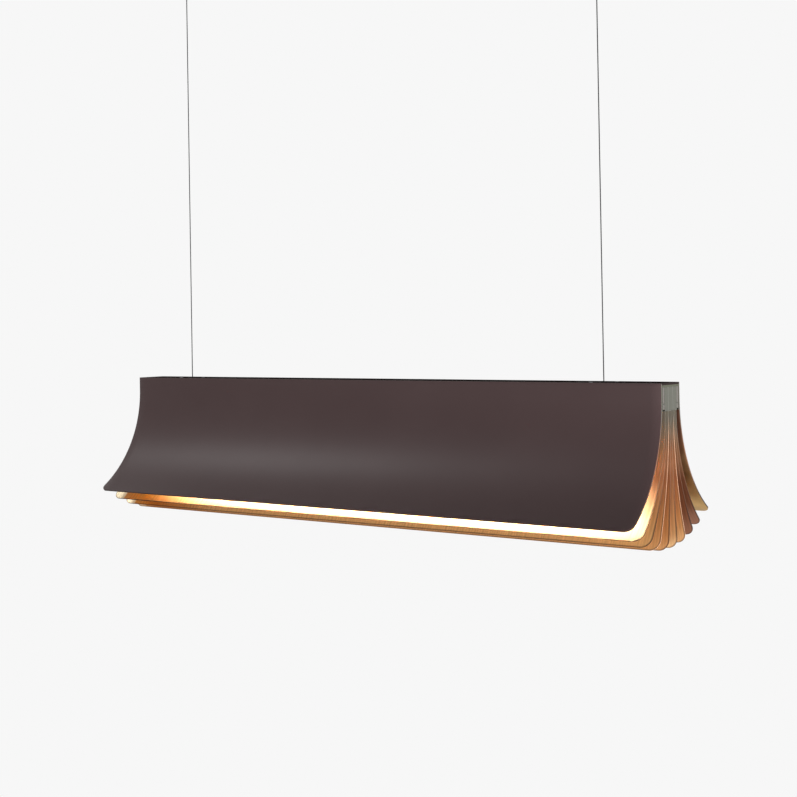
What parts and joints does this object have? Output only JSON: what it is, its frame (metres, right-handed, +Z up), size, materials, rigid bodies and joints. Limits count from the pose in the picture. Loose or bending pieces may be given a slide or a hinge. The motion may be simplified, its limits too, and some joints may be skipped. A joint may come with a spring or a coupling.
{
  "type": "pendant light",
  "caption": "Linear pendant light like an open book hung by its spine: bent outer sheets round a fan of copper-toned leaves, lit from the spine, on cables from a long ceiling canopy.",
  "frame": {"origin": "on the ceiling, in the top face of the ceiling plate, midway between the two ceiling screws and midway between the two cables", "axes": "+X along the lamp and the canopy, -Y towards the front, +Z up"},
  "size_m": [0.9, 0.22, 0.8636],
  "materials": {
    "brown_lacquer": "satin dark brown lacquer outside, gold inside",
    "copper_leaf": "copper-toned anodised sheet",
    "spine_aluminium": "mill-finish extruded aluminium",
    "adhesive_tape": "acrylic foam tape",
    "opal_diffuser": "opal acrylic",
    "light_resin": "phosphor resin on a flexible carrier",
    "bright_steel": "zinc-plated steel",
    "cable_steel": "stranded steel cable",
    "nickel_plate": "satin nickel plating on brass",
    "bare_brass": "turned brass",
    "nylon": "glass-filled nylon",
    "canopy_paint": "satin dark brown powder coat",
    "galvanised_steel": "galvanised sheet",
    "driver_case": "white polycarbonate",
    "terminal_nylon": "white nylon",
    "wire_insulation": "silicone insulation"
  },
  "bodies": {
    "canopy": {"ceiling_plate": "galvanised_steel", "canopy_cover": "canopy_paint", "hanger_nuts": "bright_steel", "collar_nuts": "nickel_plate", "ball_seats": "nylon", "led_driver": "driver_case", "driver_screws": "bright_steel", "terminal_block": "terminal_nylon", "driver_leads": "wire_insulation", "hanger_tube_left": "nickel_plate", "hanger_tube_right": "nickel_plate", "cable_tail_left": "cable_steel", "cable_tail_right": "cable_steel"},
    "grippers": {"gripped_cables": "cable_steel", "gripper_head_left": "nickel_plate", "gripper_head_right": "nickel_plate", "gripper_barrel_left": "nickel_plate", "gripper_barrel_right": "nickel_plate", "sleeve_spring_left": "bright_steel", "sleeve_spring_right": "bright_steel"},
    "release_left": {"release_sleeve_left": "nickel_plate", "grip_balls_left": "bright_steel"},
    "release_right": {"release_sleeve_right": "nickel_plate", "grip_balls_right": "bright_steel"},
    "cable_left": {"suspension_cable_left": "cable_steel"},
    "cable_right": {"suspension_cable_right": "cable_steel"},
    "end_left": {"cable_end_left": "bright_steel"},
    "end_right": {"cable_end_right": "bright_steel"},
    "barrels": {"cross_barrels": "bare_brass"},
    "lamp": {"anchor_blocks": "nylon", "contact_plates": "bare_brass", "feed_leads": "wire_insulation", "spine_cap": "brown_lacquer", "cap_screws": "bright_steel", "tie_bolts": "bright_steel", "tie_nuts": "bright_steel", "bonding_tapes": "adhesive_tape", "outer_sheet_front": "brown_lacquer", "outer_sheet_back": "brown_lacquer", "light_profile_front": "spine_aluminium", "light_profile_back": "spine_aluminium", "light_strip_front": "light_resin", "light_strip_back": "light_resin", "diffuser_front": "opal_diffuser", "diffuser_back": "opal_diffuser", "leaf_1": "copper_leaf", "leaf_2": "copper_leaf", "leaf_3": "copper_leaf", "leaf_4": "copper_leaf", "leaf_5": "copper_leaf", "leaf_6": "copper_leaf", "leaf_7": "copper_leaf", "leaf_8": "copper_leaf", "spacer_bar_1": "spine_aluminium", "spacer_bar_2": "spine_aluminium", "spacer_bar_3": "spine_aluminium", "spacer_bar_4": "spine_aluminium", "spacer_bar_5": "spine_aluminium", "spacer_bar_6": "spine_aluminium", "spacer_bar_7": "spine_aluminium"}
  },
  "joints": [
    {"name": "swing", "type": "hinge", "parent": "canopy", "child": "grippers", "pos_m": [0, 0, -0.0365], "axis": [1, 0, 0], "range_deg": [-10, 10]},
    {"name": "release_left_push", "type": "slide", "parent": "grippers", "child": "release_left", "axis": [0, 0, 1], "range_m": [0, 0.002], "stiffness_N_per_m": 60, "springref_m": -0.004, "deforming": ["sleeve_spring_left"]},
    {"name": "release_right_push", "type": "slide", "parent": "grippers", "child": "release_right", "axis": [0, 0, 1], "range_m": [0, 0.002], "stiffness_N_per_m": 60, "springref_m": -0.004, "deforming": ["sleeve_spring_right"]},
    {"name": "sway", "type": "hinge", "parent": "grippers", "child": "cable_left", "pos_m": [-0.359, 0, -0.07], "axis": [0, 1, 0], "range_deg": [-8, 8]},
    {"name": "sway_right", "type": "hinge", "parent": "grippers", "child": "cable_right", "pos_m": [0.359, 0, -0.07], "axis": [0, 1, 0], "range_deg": [-8, 8]},
    {"name": "height", "type": "slide", "parent": "cable_left", "child": "end_left", "axis": [0, 0, 1], "range_m": [0, 0.35], "deforming": ["suspension_cable_left", "suspension_cable_right"]},
    {"name": "height_right", "type": "slide", "parent": "cable_right", "child": "end_right", "axis": [0, 0, 1], "range_m": [0, 0.35]},
    {"name": "sway_return", "type": "hinge", "parent": "end_left", "child": "barrels", "pos_m": [-0.359, 0, -0.6727], "axis": [0, 1, 0], "range_deg": [-8, 8]},
    {"name": "rock", "type": "hinge", "parent": "barrels", "child": "lamp", "pos_m": [0, 0, -0.6727], "axis": [1, 0, 0], "range_deg": [-10, 10]}
  ],
  "couplings": [
    {"joint": "sway_right", "follows": "sway", "ratio": 1},
    {"joint": "sway_return", "follows": "sway", "ratio": -1},
    {"joint": "height_right", "follows": "height", "ratio": 1}
  ]
}
